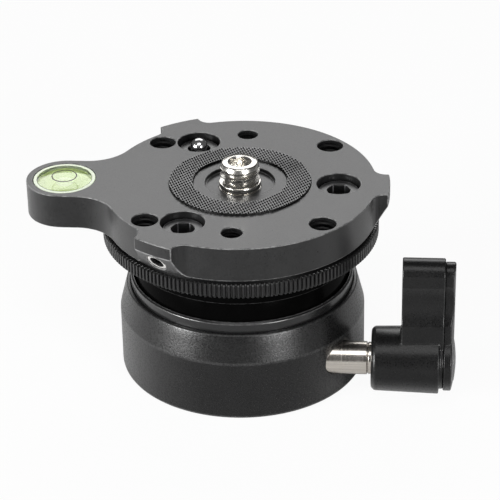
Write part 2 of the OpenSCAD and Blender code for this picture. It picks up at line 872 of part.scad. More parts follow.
base_housing();
wiper_ring();
tripod_bush();
base_screws();
socket_body();
socket_ring();
socket_ring_screws();
fixed_clamp_plug();
threaded_clamp_plug();
thrust_washer();
lock_spindle();
knob_insert();
knob_screw();
knob_body();
knob_cover();
knob_cap();
ball_liner();
dust_skirt();
half_ball();
knurled_ring();
top_plate();
plate_screws();
hollow_screw();
pin_spring();
anti_twist_pin();
side_set_screws();
grip_pad();
centre_stud();
level_cup();
level_fluid();
level_bubble();
level_ring();
level_lens();
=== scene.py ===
"""Tripod leveling base: the visual model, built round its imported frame.

Lengths are in millimetres and angles in degrees, unless a docstring says otherwise.
"""

import logging
import math
from contextlib import contextmanager
from dataclasses import dataclass, field
from enum import Enum
from typing import Callable, Iterable, Iterator, Sequence

import bmesh
import bpy
from mathutils import Matrix, Vector


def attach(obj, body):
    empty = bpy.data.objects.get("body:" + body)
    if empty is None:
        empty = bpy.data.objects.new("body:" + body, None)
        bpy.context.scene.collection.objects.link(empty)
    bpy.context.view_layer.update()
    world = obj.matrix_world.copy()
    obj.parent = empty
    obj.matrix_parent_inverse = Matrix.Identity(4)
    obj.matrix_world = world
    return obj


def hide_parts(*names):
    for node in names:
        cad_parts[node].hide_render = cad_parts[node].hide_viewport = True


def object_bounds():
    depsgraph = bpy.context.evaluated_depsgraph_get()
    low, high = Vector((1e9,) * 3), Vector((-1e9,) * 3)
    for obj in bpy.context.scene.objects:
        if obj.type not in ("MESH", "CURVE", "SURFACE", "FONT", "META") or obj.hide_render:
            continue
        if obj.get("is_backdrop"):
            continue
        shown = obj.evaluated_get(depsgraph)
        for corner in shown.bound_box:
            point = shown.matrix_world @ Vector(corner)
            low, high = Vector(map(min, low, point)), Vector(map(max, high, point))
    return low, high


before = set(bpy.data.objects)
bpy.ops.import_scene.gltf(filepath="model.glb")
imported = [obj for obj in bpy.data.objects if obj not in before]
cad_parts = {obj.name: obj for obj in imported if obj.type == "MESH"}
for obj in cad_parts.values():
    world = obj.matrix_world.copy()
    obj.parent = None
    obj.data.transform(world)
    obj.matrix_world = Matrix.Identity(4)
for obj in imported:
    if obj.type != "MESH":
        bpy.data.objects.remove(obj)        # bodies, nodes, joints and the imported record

log = logging.getLogger("leveling_base")


MM = 0.001
FULL_TURN = 2 * math.pi
WELD = 1e-6              # metres: closer points of a new shell are made one
MERGE = 1e-7             # metres: closer points of a CAD mesh or of a cut are made one
THIRDS = (0.0, 120.0, 240.0)
FLAT = 0.05              # degrees: faces closer to flat than this are joined
PAST = 1.0               # how far a cutting tool reaches past its piece
SCREW_CIRCLE = 23.6      # from the head's axis to its three screws
NODE_GAP = 200
EDGE_MASK = "edge"
# Faces that get painted shade in a socket.
SOCKET_SHADE_MASK = "deep"

Piece = bpy.types.Object
Node = bpy.types.Node
Socket = bpy.types.NodeSocket
Point = tuple[float, float]
Spot = tuple[float, float, float]
Colour = tuple[float, float, float]
Inputs = dict[int | str, object]

MIDDLE: Point = (0.0, 0.0)
SPINDLE_AXIS: Spot = (0.0, -16.80543, 10.0)
DUST: Colour = (0.5, 0.49, 0.47)


class Part(Enum):
    """The kind of mesh element that a selection takes."""

    VERTS = (True, False, False)
    FACES = (False, False, True)


class Body(Enum):
    """The CAD bodies that new pieces ride on."""

    BASE = "base"
    LOCK = "lock"
    HEAD = "head"


# Bench: selecting, shaping and closing meshes


def hold(obj: Piece) -> None:
    """Makes one object the only selected one and the active one.

    Args:
        obj: The object to take in hand.
    """
    bpy.ops.object.select_all(action="DESELECT")
    obj.select_set(True)
    bpy.context.view_layer.objects.active = obj


@contextmanager
def editing(obj: Piece, start: str = "DESELECT") -> Iterator[None]:
    """Opens the object's mesh for edit operators.

    Args:
        obj: The object whose mesh is edited.
        start: SELECT to begin with all of it selected, DESELECT with nothing.
    """
    hold(obj)
    bpy.context.tool_settings.mesh_select_mode = Part.VERTS.value
    bpy.ops.object.mode_set(mode="EDIT")
    bpy.ops.mesh.select_all(action=start)
    yield
    bpy.ops.object.mode_set(mode="OBJECT")


def pick(obj: Piece, part: Part, test: Callable[[Vector], bool]) -> None:
    """Selects the mesh elements whose middle passes a test, in edit mode.

    Args:
        obj: The object in edit mode.
        part: Vertices or faces.
        test: Says of a middle, in metres, whether it is taken.
    """
    bpy.context.tool_settings.mesh_select_mode = part.value
    mesh = bmesh.from_edit_mesh(obj.data)
    for corner in mesh.verts:
        corner.select_set(False)
    if part is Part.VERTS:
        taken = [corner for corner in mesh.verts if test(corner.co)]
    else:
        taken = [face for face in mesh.faces if test(face.calc_center_median())]
    for element in taken:
        element.select_set(True)
    mesh.select_flush_mode()
    bmesh.update_edit_mesh(obj.data)


def settle(obj: Piece) -> None:
    """Moves an object's place, turn and scale into its mesh."""
    hold(obj)
    bpy.ops.object.transform_apply(location=True, rotation=True, scale=True)


def close_up(obj: Piece) -> None:
    """Merges doubled vertices and points all faces outwards.

    Args:
        obj: A closed shell.
    """
    with editing(obj, "SELECT"):
        bpy.ops.mesh.remove_doubles(threshold=WELD)
        bpy.ops.mesh.normals_make_consistent(inside=False)


def shaped(obj: Piece, kind: str, **settings: object) -> None:
    """Adds one modifier to an object and applies it.

    Args:
        obj: The object to shape.
        kind: The modifier's type.
        **settings: The modifier's own values.
    """
    hold(obj)
    modifier = obj.modifiers.new(kind.lower(), kind)
    for key, value in settings.items():
        setattr(modifier, key, value)
    bpy.ops.object.modifier_apply(modifier=modifier.name)


def cut(obj: Piece, tool: Piece, operation: str = "DIFFERENCE") -> None:
    """Takes a tool solid away from an object, adds it or shares it, and uses it up."""
    shaped(obj, "BOOLEAN", operation=operation, object=tool, solver="EXACT")
    bpy.data.objects.remove(tool)


def smooth(obj: Piece, angle: float = 50.0) -> None:
    """Shades an object smooth, led by its large faces, with sharp edges left crisp.

    Args:
        obj: The object to shade.
        angle: Edges sharper than this stay crisp.
    """
    hold(obj)
    if obj.data.has_custom_normals:
        bpy.ops.mesh.customdata_custom_splitnormals_clear()
    bpy.ops.object.shade_smooth_by_angle(angle=math.radians(angle))
    shaped(obj, "WEIGHTED_NORMAL", keep_sharp=True, weight=80)


def placed(name: str, data: bpy.types.ID) -> Piece:
    """Puts a new object into the scene.

    Args:
        name: The object's name.
        data: Its mesh, lamp or camera.

    Returns:
        The object.
    """
    obj = bpy.data.objects.new(name, data)
    bpy.context.scene.collection.objects.link(obj)
    return obj


def fresh(name: str) -> Piece:
    """Names the primitive that was just added and moves its place into its mesh.

    Args:
        name: The primitive's new name.

    Returns:
        The primitive.
    """
    obj = bpy.context.object
    obj.name = name
    settle(obj)
    return obj


def disc(name: str, radius: float, low: float, high: float, steps: int,
         at: Point = MIDDLE) -> Piece:
    """A plain round solid along Z, a start for shaping or a tool for cutting.

    Args:
        name: The object's name.
        radius: Radius.
        low: Lower end.
        high: Upper end.
        steps: Corners round the circle.
        at: The axis' place.

    Returns:
        The solid, with its place in its mesh.
    """
    place = (at[0] * MM, at[1] * MM, (low + high) / 2 * MM)
    bpy.ops.mesh.primitive_cylinder_add(
        vertices=steps, radius=radius * MM, depth=(high - low) * MM, location=place)
    return fresh(name)


def chain(name: str, points: Sequence[Point]) -> Piece:
    """A chain of edges in the XZ plane, drawn from one vertex by extrusion.

    Args:
        name: The object's name.
        points: Radius and height of each corner.

    Returns:
        The chain as an object at the origin.
    """
    corners = [Vector((r * MM, 0.0, z * MM)) for r, z in points]
    bpy.ops.mesh.primitive_plane_add(size=MM, location=corners[0])
    obj = fresh(name)
    with editing(obj, "SELECT"):
        bpy.ops.mesh.merge(type="CENTER")
        for here, there in zip(corners, corners[1:]):
            bpy.ops.mesh.extrude_vertices_move(TRANSFORM_OT_translate={"value": there - here})
    return obj


def moved(obj: Piece, centre: Point) -> Piece:
    """Moves a piece that was made round the origin to its own upright axis.

    Args:
        obj: The piece.
        centre: The axis' place.

    Returns:
        The piece, with its place in its mesh.
    """
    if centre != MIDDLE:
        obj.location = (centre[0] * MM, centre[1] * MM, 0.0)
        settle(obj)
    return obj


def turned(name: str, points: Sequence[Point], steps: int, centre: Point = MIDDLE) -> Piece:
    """A solid of revolution about an upright axis, spun from its profile.

    Args:
        name: The object's name.
        points: The closed profile's radius and height.
        steps: Corners round the circle.
        centre: The axis' place.

    Returns:
        The closed solid.
    """
    obj = chain(name, points)
    with editing(obj, "SELECT"):
        bpy.ops.mesh.spin(steps=steps, angle=FULL_TURN, center=(0, 0, 0), axis=(0, 0, 1))
    close_up(obj)
    return moved(obj, centre)


def wound(name: str, tooth: Sequence[Point], pitch: float, low: float, high: float,
          crest_height: float, steps: int = 48, centre: Point = MIDDLE) -> Piece:
    """A threaded rod: a chain of teeth, wound up by a full turn and cut off level.

    Args:
        name: The object's name.
        tooth: One tooth's corners: share of the pitch past the crest, and radius.
        pitch: Rise of one turn.
        low: Lower end.
        high: Upper end.
        crest_height: Height of a crest on the X axis.
        steps: Corners round the circle.
        centre: The axis' place.

    Returns:
        The threaded rod as a closed solid.
    """
    start = crest_height - pitch * math.ceil((crest_height - low) / pitch + 1)
    turns = math.ceil((high - start) / pitch) + 1
    obj = chain(name, [(r, start + (turn + share) * pitch)
                       for turn in range(turns) for share, r in tooth])
    shaped(obj, "SCREW", angle=FULL_TURN, screw_offset=pitch * MM, steps=steps, render_steps=steps,
           iterations=1, use_merge_vertices=True, merge_threshold=WELD, axis="Z")
    close_up(obj)
    with editing(obj):
        for level, keep_above in ((low, True), (high, False)):
            bpy.ops.mesh.select_all(action="SELECT")
            bpy.ops.mesh.bisect(plane_co=(0, 0, level * MM), plane_no=(0, 0, 1), use_fill=True,
                                clear_inner=keep_above, clear_outer=not keep_above, threshold=MERGE)
    close_up(obj)
    return moved(obj, centre)


@dataclass(frozen=True)
class Thread:
    """A real thread in a hole's wall, short of both mouths."""

    radius: float
    depth: float
    pitch: float
    low: float
    high: float
    clearance: float = 0.15
    crest_half: float = 0.07
    root_half: float = 0.06

    def tap(self, obj: Piece, centre: Point = MIDDLE) -> None:
        """Cuts the thread into a hole.

        Args:
            obj: The piece with the hole.
            centre: The hole's axis.
        """
        inside, outside = self.radius - self.clearance, self.radius + self.depth
        tooth = ((-self.crest_half, outside), (self.crest_half, outside),
                 (0.5 - self.root_half, inside), (0.5 + self.root_half, inside))
        cut(obj, wound("tap", tooth, self.pitch, self.low, self.high, self.high, centre=centre))


def lead_in(obj: Piece, steps: int, radii: Point, place: Sequence[float],
            turn: Sequence[float] = (0, 0, 0), depth: float = 0.8) -> None:
    """Cuts a shallow cone into a piece, where a socket begins.

    Args:
        obj: The piece.
        steps: Corners round the cone.
        radii: The cone's radius at its inner and outer end.
        place: The cone's middle in metres.
        turn: The cone's turn about X, Y and Z in radians.
        depth: The cone's height.
    """
    bpy.ops.mesh.primitive_cone_add(
        vertices=steps, radius1=radii[0] * MM, radius2=radii[1] * MM, depth=depth * MM,
        location=place, rotation=turn)
    cut(obj, fresh("lead"))


def around(radius: float, angle: float) -> Point:
    """The place at a radius and an angle, round the upright axis."""
    return radius * math.cos(math.radians(angle)), radius * math.sin(math.radians(angle))


def mark(obj: Piece, mask: str, marked: Iterable[bool]) -> None:
    """Gives a piece a face mask, from what it says of each face in turn."""
    made = obj.data.attributes.new(mask, "FLOAT", "FACE")
    made.data.foreach_set("value", [float(value) for value in marked])


def mark_edges(obj: Piece) -> None:
    """Turns the second material's faces into a face mask for edge wear and a painted edge
    highlight.

    Args:
        obj: A piece whose roundings carry its second material.
    """
    mesh = obj.data
    mark(obj, EDGE_MASK, (face.material_index == 1 for face in mesh.polygons))
    mesh.polygons.foreach_set("material_index", [0] * len(mesh.polygons))
    used = list(mesh.materials)
    mesh.materials.clear()
    for material in used:
        bpy.data.materials.remove(material)


# Finishes


class Wiring:
    """Adds and links nodes in one node tree, left to right."""

    def __init__(self, tree: bpy.types.NodeTree) -> None:
        """Starts on a tree."""
        self.tree = tree

    def put(self, socket: Socket, value: object) -> None:
        """Links a socket, or sets its own value.

        Args:
            socket: The input to feed.
            value: Another node's output, or a plain value.
        """
        if isinstance(value, bpy.types.NodeSocket):
            self.tree.links.new(value, socket)
        else:
            socket.default_value = value

    def feed(self, node: Node, inputs: Inputs) -> None:
        """Links or sets several inputs of a node, by their names or numbers."""
        for label, value in inputs.items():
            self.put(node.inputs[label], value)

    def node(self, kind: str, inputs: Inputs | None = None, **values: object) -> Node:
        """Adds a node and feeds it.

        Args:
            kind: The node's type without its ShaderNode prefix.
            inputs: What its inputs take.
            **values: Properties of the node.

        Returns:
            The node.
        """
        made = self.tree.nodes.new("ShaderNode" + kind)
        made.location = (NODE_GAP * len(self.tree.nodes), 0)
        for key, value in values.items():
            setattr(made, key, value)
        self.feed(made, inputs or {})
        return made

    def math(self, operation: str, first: object, second: object = 0.0) -> Socket:
        """One sum on two values, and its result."""
        return self.node("Math", {0: first, 1: second}, operation=operation).outputs[0]

    def times(self, first: object, second: object) -> Socket:
        """One value multiplied by another."""
        return self.math("MULTIPLY", first, second)

    def plus(self, first: object, second: object) -> Socket:
        """One value added to another."""
        return self.math("ADD", first, second)

    def place(self) -> Socket:
        """The point on the object."""
        return self.node("TexCoord").outputs["Object"]

    def parts(self, vector: Socket) -> bpy.types.NodeOutputs:
        """A vector's X, Y and Z, by name."""
        return self.node("SeparateXYZ", {0: vector}).outputs

    def mask(self, name: str) -> Socket:
        """A face mask of the piece."""
        return self.node("Attribute", attribute_type="GEOMETRY", attribute_name=name).outputs["Fac"]

    def noise(self, spot: Socket, scale: object, detail: float, rough: float) -> Socket:
        """Cloudy noise over a coordinate, from 0 to 1."""
        return self.node("TexNoise", {"Vector": spot, "Scale": scale, "Detail": detail,
                                      "Roughness": rough}).outputs["Fac"]

    def span(self, value: Socket, low: float, high: float, from_low: float,
             from_high: float) -> Socket:
        """Maps a value from one range on to another, clamped."""
        return self.node("MapRange", {"Value": value, "From Min": from_low, "From Max": from_high,
                                      "To Min": low, "To Max": high}, clamp=True).outputs["Result"]

    def blend(self, share: Socket, first: object, second: object) -> Socket:
        """Mixes two colours by a share."""
        return self.node("Mix", {"Factor": share, "A": first, "B": second},
                         data_type="RGBA").outputs["Result"]


class EffectGroup(Wiring):
    """A shader node group with named inputs and outputs, built once."""

    def __init__(self, name: str, takes: dict[str, float], *gives: str) -> None:
        """Makes the group's sockets.

        Args:
            name: The group's name.
            takes: Each input's name and default value.
            *gives: Each output's name.
        """
        super().__init__(bpy.data.node_groups.new(name, "ShaderNodeTree"))
        for label, value in takes.items():
            self.socket(label, "INPUT").default_value = value
        for label in gives:
            self.socket(label, "OUTPUT")
        self.start = self.tree.nodes.new("NodeGroupInput").outputs
        self.end = self.tree.nodes.new("NodeGroupOutput")

    def socket(self, label: str, way: str) -> bpy.types.NodeTreeInterfaceSocket:
        """Makes one socket for a number."""
        return self.tree.interface.new_socket(label, in_out=way, socket_type="NodeSocketFloat")


def grain_group() -> None:
    """Fine blasted grain: a height, a mottle of tone and a spread of roughness."""
    group = EffectGroup(
        "fine_grain",
        {"Grain Scale": 4000.0, "Mottle Scale": 220.0, "Roughness": 0.4, "Roughness Spread": 0.08},
        "Height", "Mottle", "Roughness")
    spot = group.place()
    fine = group.noise(spot, group.start["Grain Scale"], 3.0, 0.65)
    cloudy = group.noise(spot, group.start["Mottle Scale"], 3.0, 0.55)
    offset = group.times(group.math("SUBTRACT", fine, 0.5), group.start["Roughness Spread"])
    group.feed(group.end, {
        "Height": fine, "Mottle": group.plus(group.times(fine, 0.5), group.times(cloudy, 0.5)),
        "Roughness": group.plus(group.start["Roughness"], group.times(offset, 2.0))})


def wear_and_highlight_group() -> None:
    """Edge wear and a painted edge highlight: a mask on the roundings, broken up by noise."""
    group = EffectGroup("edge_wear_and_highlight", {"Amount": 0.6, "Breakup Scale": 900.0}, "Mask")
    patchy = group.noise(group.place(), group.start["Breakup Scale"], 3.0, 0.6)
    rubbed_and_lit = group.span(patchy, 0.25, 1.0, 0.35, 0.6)
    # The lighter roundings are partly wear and partly a painted highlight.
    worn_and_lit = group.times(group.mask(EDGE_MASK), rubbed_and_lit)
    group.feed(group.end, {"Mask": group.times(worn_and_lit, group.start["Amount"])})


def dust_group() -> None:
    """Light dust that has settled on surfaces that face up."""
    group = EffectGroup("settled_dust", {"Amount": 0.1}, "Mask")
    facing = group.parts(group.node("NewGeometry").outputs["Normal"])
    upward = group.span(facing["Z"], 0.0, 1.0, 0.3, 1.0)
    specks = group.span(group.noise(group.place(), 1500.0, 4.0, 0.7), 0.0, 1.0, 0.56, 0.75)
    settled = group.times(upward, specks)
    group.feed(group.end, {"Mask": group.times(settled, group.start["Amount"])})


def turning_and_reflection_group() -> None:
    """Turning marks: fine rings round the X or the Z axis through the shift, and painted reflection
    streaks along it.
    """
    group = EffectGroup(
        "turning_marks_and_reflection_streaks",
        {"Axis X": 0.0, "Shift X": 0.0, "Shift Y": 0.0, "Shift Z": 0.0, "Ring Scale": 4000.0,
         "Streak Scale": 60.0},
        "Height", "Reflection Streak")
    parts = group.parts(group.place())
    x, y, z = (group.math("SUBTRACT", parts[axis], group.start[f"Shift {axis}"])
               for axis in "XYZ")
    share = group.start["Axis X"]
    rest = group.math("SUBTRACT", 1.0, share)
    along = group.plus(group.times(x, share), group.times(z, rest))
    side = group.plus(group.times(z, share), group.times(x, rest))
    radius = group.math("SQRT", group.plus(group.times(y, y), group.times(side, side)))
    rings = group.node("CombineXYZ", {0: along, 1: radius}).outputs[0]
    around_axis = group.math("ARCTAN2", side, y)
    # Noise that runs along the axis, for painted reflection streaks.
    streak_spot = group.node("CombineXYZ", {0: group.times(around_axis, 0.05),
                                      1: group.times(along, 0.12)}).outputs[0]
    group.feed(group.end, {"Height": group.noise(rings, group.start["Ring Scale"], 2.0, 0.6),
                           "Reflection Streak": group.noise(streak_spot, group.start["Streak Scale"], 4.0, 0.7)})


def effect(wiring: Wiring, name: str, inputs: Inputs) -> bpy.types.NodeOutputs:
    """Places a shared effect group in a material and gives its outputs, by name."""
    return wiring.node("Group", inputs, node_tree=bpy.data.node_groups[name]).outputs


def blank(owner: bpy.types.Material | bpy.types.World) -> Wiring:
    """Empties the node tree of a material or a world.

    Args:
        owner: The material or world.

    Returns:
        Wiring for the empty tree.
    """
    owner.use_nodes = True
    owner.node_tree.nodes.clear()
    return Wiring(owner.node_tree)


@dataclass(frozen=True)
class Finish:
    """A surface finish: a base tone with grain, wear and a painted highlight on roundings, and
    dust.
    """

    name: str
    colour: Colour
    shade: Colour
    roughness: float
    metallic: float = 0.0
    specular: float = 0.5
    graze: float = 0.0
    graze_rough: float = 0.1
    grain: float = 4000.0
    depth: float = 0.02
    mottle_scale: float = 220.0
    spread: float = 0.1
    # The roundings' lighter tone is partly wear and partly a painted edge highlight.
    wear_and_highlight: float = 0.0
    worn_and_lit: Colour = (0.3, 0.3, 0.3)
    dust: float = 0.0
    # Colour of painted shade on the faces in a socket.
    deep: Colour | None = None

    def material(self) -> bpy.types.Material:
        """The finish as a material.

        Returns:
            The material, made once per finish.
        """
        made = bpy.data.materials.get(self.name)
        if made:
            return made
        made = bpy.data.materials.new(self.name)
        wiring = blank(made)
        shader = wiring.node("BsdfPrincipled", {"Metallic": self.metallic,
                                                "Specular IOR Level": self.specular})
        wiring.node("OutputMaterial", {"Surface": shader.outputs["BSDF"]})
        if self.graze:
            slope = wiring.node("LayerWeight").outputs["Facing"]
            wiring.feed(shader, {"Coat Weight": wiring.span(slope, 0.0, self.graze, 0.22, 0.5),
                                 "Coat Roughness": self.graze_rough})
        self.dress(wiring, shader)
        return made

    def toned(self, wiring: Wiring, share: Socket) -> Socket:
        """The base tone with wear and a painted edge highlight, dust and painted socket shade laid
        over it.

        Args:
            wiring: The material's tree.
            share: How much of the colour shows, against the shade.

        Returns:
            The tone.
        """
        tone = wiring.blend(share, self.shade + (1,), self.colour + (1,))
        # Lighter roundings: partly wear, partly a painted edge highlight; the dust is real.
        for layer, amount, over in (("edge_wear_and_highlight", self.wear_and_highlight, self.worn_and_lit),
                                    ("settled_dust", self.dust, DUST)):
            if amount:
                mask = effect(wiring, layer, {"Amount": amount})["Mask"]
                tone = wiring.blend(mask, tone, over + (1,))
        # Painted shade in the socket's hollow.
        if self.deep:
            tone = wiring.blend(wiring.mask(SOCKET_SHADE_MASK), tone, self.deep + (1,))
        return tone

    def marks(self, wiring: Wiring) -> tuple[Socket, Socket, Socket]:
        """The surface's own pattern.

        Args:
            wiring: The material's tree.

        Returns:
            The share of the colour, the roughness and the height at a point.
        """
        grain = effect(wiring, "fine_grain", {
            "Grain Scale": self.grain, "Mottle Scale": self.mottle_scale,
            "Roughness": self.roughness, "Roughness Spread": self.spread})
        share = wiring.span(grain["Mottle"], 0.0, 1.0, 0.35, 0.65)
        return share, grain["Roughness"], grain["Height"]

    def dress(self, wiring: Wiring, shader: Node) -> None:
        """Feeds the shader with tone, roughness and bump.

        Args:
            wiring: The material's tree.
            shader: The shader to feed.
        """
        share, rough, height = self.marks(wiring)
        bump = wiring.node("Bump", {"Height": height, "Strength": 1.0, "Distance": self.depth * MM})
        wiring.feed(shader, {"Base Color": self.toned(wiring, share), "Roughness": rough,
                             "Normal": bump.outputs["Normal"]})


@dataclass(frozen=True)
class TurnedFinish(Finish):
    """A machined metal with lathe rings round one axis and painted reflection streaks along it."""

    on_spindle: bool = False
    ring_scale: float = 4000.0
    streak_scale: float = 60.0
    reflection_streak: float = 0.5

    def marks(self, wiring: Wiring) -> tuple[Socket, Socket, Socket]:
        """The surface's own pattern.

        Args:
            wiring: The material's tree.

        Returns:
            The share of the colour, the roughness and the height at a point.
        """
        shift = SPINDLE_AXIS if self.on_spindle else (0.0, 0.0, 0.0)
        marks = effect(wiring, "turning_marks_and_reflection_streaks", {
            "Axis X": float(self.on_spindle), "Ring Scale": self.ring_scale,
            "Streak Scale": self.streak_scale,
            **{f"Shift {axis}": value * MM for axis, value in zip("XYZ", shift)}})
        # Streaks along the axis, between the colour and the darker tone, are a painted reflection.
        half = self.reflection_streak / 2
        share = wiring.span(marks["Reflection Streak"], 0.0, 1.0, 0.5 - half, 0.5 + half)
        rough = wiring.span(marks["Height"], self.roughness - self.spread,
                            self.roughness + self.spread, 0.3, 0.7)
        return share, rough, marks["Height"]


@dataclass(frozen=True)
class ReliefFinish(Finish):
    """A moulded relief with painted shade in its valleys."""

    low: float = 0.0
    high: float = 1.0
    # Colour of the painted shade at the bottom of the valleys.
    valley: Colour = (0.0, 0.0, 0.0)

    def toned(self, wiring: Wiring, share: Socket) -> Socket:
        """The base tone, with painted shade that darkens it the lower it lies in the relief."""
        height = wiring.span(wiring.parts(wiring.place())["Z"], 0.0, 1.0,
                             self.low * MM, self.high * MM)
        return wiring.blend(height, self.valley + (1,), super().toned(wiring, share))


@dataclass(frozen=True)
class ClearFinish(Finish):
    """A clear part: transmission and refraction, with faint waves."""

    ior: float = 1.45

    def dress(self, wiring: Wiring, shader: Node) -> None:
        """Feeds the shader with transmission, tone and a slight wave."""
        wiring.feed(shader, {"Transmission Weight": 1.0, "IOR": self.ior})
        super().dress(wiring, shader)


# Each finish's worn tone on its roundings is partly wear and partly a painted edge highlight.
ANODISED = Finish(
    "anodised_satin", (0.009, 0.009, 0.0092), (0.004, 0.004, 0.0041), 0.38, specular=0.36,
    graze=0.9, graze_rough=0.36, grain=2300.0, depth=0.03, spread=0.3, wear_and_highlight=0.7,
    worn_and_lit=(0.2, 0.2, 0.2), dust=0.02)
BLASTED = Finish(
    "anodised_blasted", (0.004, 0.004, 0.0041), (0.002, 0.002, 0.0021), 0.29, specular=0.38,
    graze=0.6, graze_rough=0.3, grain=2400.0, depth=0.04, spread=0.3, wear_and_highlight=0.3,
    worn_and_lit=(0.06, 0.06, 0.06), dust=0.02)
KNURL = Finish(
    "anodised_knurl", (0.008, 0.008, 0.0082), (0.003, 0.003, 0.0031), 0.3, specular=0.42, graze=0.6,
    graze_rough=0.25, grain=3200.0, depth=0.012)
RIM = Finish(
    "anodised_rim", (0.008, 0.008, 0.0082), (0.004, 0.004, 0.0041), 0.24, specular=0.55, graze=0.5,
    graze_rough=0.2, grain=2800.0, depth=0.006, spread=0.08, wear_and_highlight=0.4, worn_and_lit=(0.12, 0.12, 0.12))
GLOSS = Finish(
    "anodised_gloss", (0.0015, 0.0015, 0.0015), (0.001, 0.001, 0.001), 0.2, specular=0.005,
    graze=0.08, graze_rough=0.16, grain=2500.0, depth=0.004, spread=0.06, wear_and_highlight=0.3,
    worn_and_lit=(0.08, 0.08, 0.08))
OXIDE = Finish(
    "black_oxide", (0.022, 0.022, 0.0225), (0.008, 0.008, 0.0082), 0.32, specular=0.35, graze=0.8,
    graze_rough=0.3, grain=3200.0, depth=0.01, spread=0.12, wear_and_highlight=0.75, worn_and_lit=(0.3, 0.3, 0.31))
PLASTIC = Finish(
    "moulded_plastic", (0.005, 0.005, 0.0051), (0.002, 0.002, 0.0021), 0.3, specular=0.28,
    graze=0.6, graze_rough=0.3, grain=2700.0, depth=0.03, spread=0.16, wear_and_highlight=0.15,
    worn_and_lit=(0.04, 0.04, 0.04))
CAP = TurnedFinish(
    "cap_plastic_satin", (0.15, 0.15, 0.15), (0.09, 0.09, 0.09), 0.35, on_spindle=True,
    ring_scale=2600.0, spread=0.08, depth=0.01)
# The black valley tone is painted shade in the pits of the diamonds.
PAD = ReliefFinish(
    "pad_rubber_diamond", (0.27, 0.27, 0.27), (0.15, 0.15, 0.15), 0.36, specular=0.4, grain=3500.0,
    depth=0.02, spread=0.2, low=48.8, high=48.89, valley=(0.002, 0.002, 0.002))
SPINDLE = TurnedFinish(
    "steel_spindle", (0.74, 0.7, 0.64), (0.5, 0.46, 0.42), 0.24, metallic=1.0, on_spindle=True,
    ring_scale=2200.0, streak_scale=160.0, spread=0.04, reflection_streak=0.2, depth=0.002)
STUD = TurnedFinish(
    "steel_stud", (0.84, 0.82, 0.78), (0.6, 0.58, 0.54), 0.22, metallic=1.0, ring_scale=2600.0,
    streak_scale=160.0, spread=0.05, depth=0.0015)
STEEL = TurnedFinish(
    "steel_plain", (0.66, 0.65, 0.63), (0.52, 0.51, 0.5), 0.25, metallic=1.0, spread=0.07,
    depth=0.005)
# This steel is far lighter than the plain steel: a painted highlight. Its deep tone is painted
# shade in the hex sockets.
SET_STEEL = Finish(
    "steel_set_screw", (0.95, 0.94, 0.92), (0.85, 0.84, 0.82), 0.5, metallic=1.0, grain=3000.0,
    depth=0.006, spread=0.08, deep=(0.01, 0.01, 0.01))
CHROME = Finish(
    "chrome_pin", (0.88, 0.88, 0.89), (0.74, 0.74, 0.75), 0.2, metallic=1.0, grain=1200.0,
    depth=0.001, spread=0.04)
BARE = TurnedFinish(
    "bare_aluminium_turned", (0.62, 0.63, 0.65), (0.5, 0.51, 0.52), 0.3, metallic=1.0,
    ring_scale=3000.0, spread=0.08, depth=0.01)
BRASS = TurnedFinish(
    "brass_turned", (0.72, 0.53, 0.27), (0.58, 0.41, 0.2), 0.28, metallic=1.0, on_spindle=True,
    spread=0.08, depth=0.006)
NYLON = Finish(
    "nylon_natural", (0.8, 0.79, 0.74), (0.72, 0.71, 0.66), 0.5, grain=2500.0, depth=0.01)
CUP = Finish(
    "level_cup_white", (0.84, 0.91, 0.74), (0.78, 0.86, 0.67), 0.28, grain=1500.0, depth=0.003,
    spread=0.05)
FLUID = Finish(
    "level_fluid_green", (0.78, 0.9, 0.42), (0.68, 0.84, 0.32), 0.12, grain=120.0,
    mottle_scale=90.0, depth=0.001, spread=0.04)
AIR = Finish(
    "level_bubble_air", (0.84, 0.94, 0.58), (0.78, 0.9, 0.5), 0.08, grain=200.0, depth=0.001,
    spread=0.03)
PRINT = Finish(
    "level_print_black", (0.02, 0.02, 0.02), (0.03, 0.035, 0.02), 0.45, grain=3000.0, depth=0.004)
WINDOW = ClearFinish(
    "level_window_clear", (0.97, 1.0, 0.94), (0.95, 0.98, 0.92), 0.03, graze=0.7, graze_rough=0.05,
    grain=150.0, depth=0.001, spread=0.01, ior=1.12)


def finished(obj: Piece, finish: Finish, body: Body, node: str) -> None:
    """Dresses a new piece and says where it belongs.

    Args:
        obj: The new piece.
        finish: Its finish.
        body: The CAD body that it moves with.
        node: The CAD node that it stands for.
    """
    obj.data.name = obj.name
    obj.data.materials.clear()
    obj.data.materials.append(finish.material())
    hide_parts(node)
    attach(obj, body.value)
    log.info("%s rides on %s, %d faces", obj.name, body.value, len(obj.data.polygons))


def dressed(finish: Finish, *nodes: str) -> None:
    """Gives CAD nodes that keep their shape a better material.

    Args:
        finish: Their finish.
        *nodes: The CAD nodes.
    """
    for node in nodes:
        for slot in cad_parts[node].material_slots:
            slot.material = finish.material()
        log.info("%s keeps its shape, finish %s", node, finish.name)


